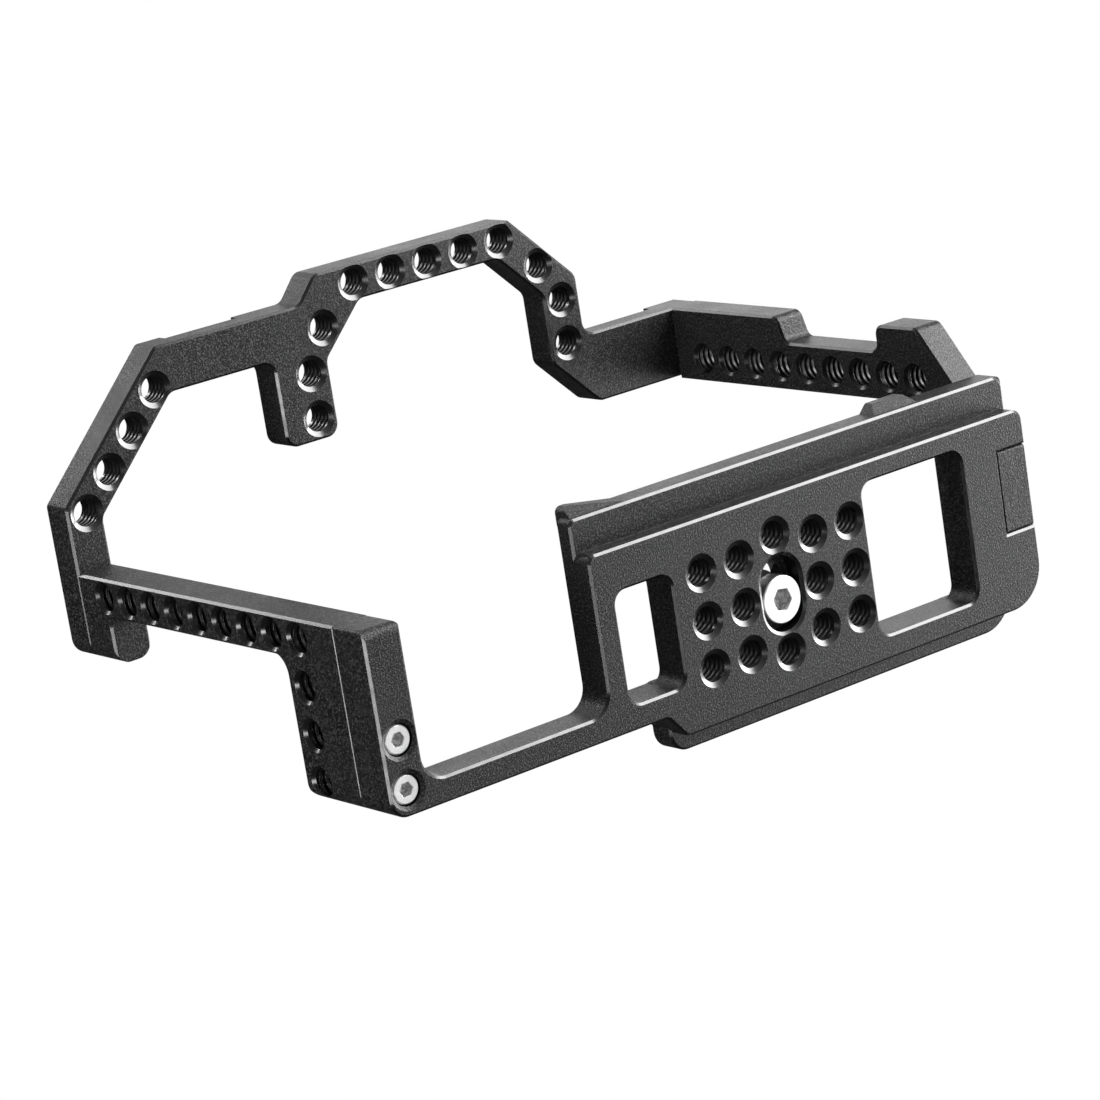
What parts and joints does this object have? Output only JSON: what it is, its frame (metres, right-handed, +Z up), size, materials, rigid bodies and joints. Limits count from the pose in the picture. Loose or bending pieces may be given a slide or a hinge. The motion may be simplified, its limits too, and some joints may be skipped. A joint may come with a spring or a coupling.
{
  "type": "camera cage",
  "caption": "Open black metal camera cage: slotted base plate, two drilled side bars and a top plate that goes round the prism hump, with a captive camera screw that slides.",
  "frame": {"origin": "middle of the whole cage's box on the ground, under the base plate's flat underside", "axes": "+X from the grip side to the port side, -Y to the front (the lens side), +Z up, out of the camera screw"},
  "size_m": [0.1558, 0.0852, 0.1001],
  "materials": {
    "frame": "bead-blasted, black anodised",
    "camera_screw": "turned stainless",
    "ring": "stamped spring steel",
    "fasteners": "nickel-plated"
  },
  "bodies": {
    "frame": {"bottom_plate": "frame", "grip_side_bar": "frame", "port_side_bar": "frame", "top_plate": "frame", "corner_screws": "fasteners", "frame_screws": "fasteners"},
    "retainer": {"retaining_ring": "ring"},
    "screw": {"camera_screw": "camera_screw"}
  },
  "joints": [
    {"name": "screw_slide", "type": "slide", "parent": "frame", "child": "retainer", "axis": [0, 1, 0], "range_m": [-0.00375, 0.00135]},
    {"name": "screw_turn", "type": "hinge", "parent": "retainer", "child": "screw", "pos_m": [0.0137, 0.02055, 0.005], "axis": [0, 0, 1], "continuous": true}
  ]
}
